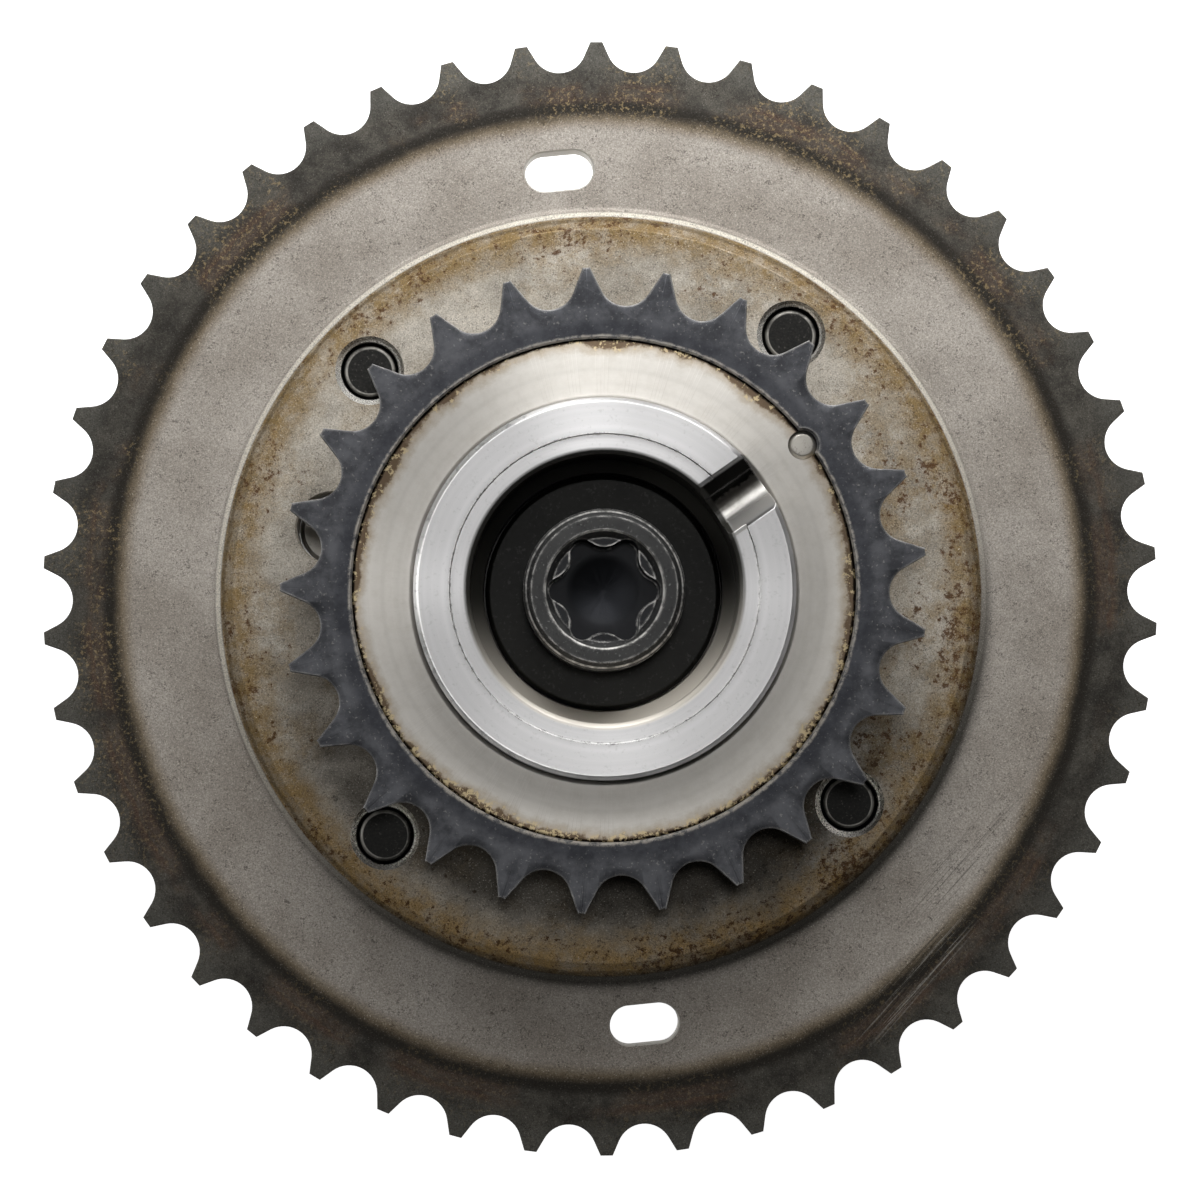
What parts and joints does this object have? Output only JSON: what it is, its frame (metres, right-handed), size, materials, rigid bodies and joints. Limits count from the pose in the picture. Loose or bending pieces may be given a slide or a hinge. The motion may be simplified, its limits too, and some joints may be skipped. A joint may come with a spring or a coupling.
{
  "type": "cam phaser",
  "caption": "Chain-driven cam phaser: a double-sprocket housing turns a vaned rotor that is bolted to a camshaft and can advance or retard it.",
  "frame": {"origin": "on the phaser's axis at the plane that the four screw heads stand on", "axes": "+Z along the axis towards the front, with the small sprocket and the centre bolt; +X to the picture's right and +Y to its top"},
  "size_m": [0.1184, 0.1186, 0.0494],
  "materials": {
    "plate_steel": "matte sintered steel, dark hardened teeth, light rust",
    "ring_steel": "blue-black oxide steel, smooth",
    "pin_steel": "ground steel",
    "housing_steel": "sintered steel, machined faces",
    "screw_steel": "black oxide steel",
    "rotor_steel": "turned bright steel",
    "seal_polymer": "dark filled polymer",
    "spring_steel": "bright spring steel",
    "bolt_steel": "phosphated steel, edges worn bright",
    "washer_steel": "dark hardened steel"
  },
  "bodies": {
    "housing": {"sprocket_plate": "plate_steel", "secondary_sprocket": "ring_steel", "timing_pin": "pin_steel", "stator": "housing_steel", "rear_cover": "housing_steel", "screw_1": "screw_steel", "screw_2": "screw_steel", "screw_3": "screw_steel", "screw_4": "screw_steel", "lobe_seal_1": "seal_polymer", "lobe_seal_2": "seal_polymer", "lobe_seal_3": "seal_polymer", "lobe_seal_4": "seal_polymer", "lobe_spring_1": "spring_steel", "lobe_spring_2": "spring_steel", "lobe_spring_3": "spring_steel", "lobe_spring_4": "spring_steel", "lock_bush": "pin_steel"},
    "rotor": {"rotor": "rotor_steel", "vane_seal_1": "seal_polymer", "vane_seal_2": "seal_polymer", "vane_seal_3": "seal_polymer", "vane_seal_4": "seal_polymer", "vane_spring_1": "spring_steel", "vane_spring_2": "spring_steel", "vane_spring_3": "spring_steel", "vane_spring_4": "spring_steel", "lock_spring": "spring_steel", "lock_spring_seat": "pin_steel", "center_bolt": "bolt_steel", "seat_washer": "washer_steel"},
    "lock_pin": {"lock_pin": "pin_steel"}
  },
  "joints": [
    {"name": "phase_turn", "type": "hinge", "parent": "housing", "child": "rotor", "pos_m": [0, 0, 0], "axis": [0, 0, 1], "range_deg": [0, 28]},
    {"name": "lock_pin_slide", "type": "slide", "parent": "rotor", "child": "lock_pin", "axis": [0, 0, -1], "range_m": [0, 0.0025], "stiffness_N_per_m": 600, "springref_m": -0.004, "deforming": ["lock_spring"]}
  ]
}
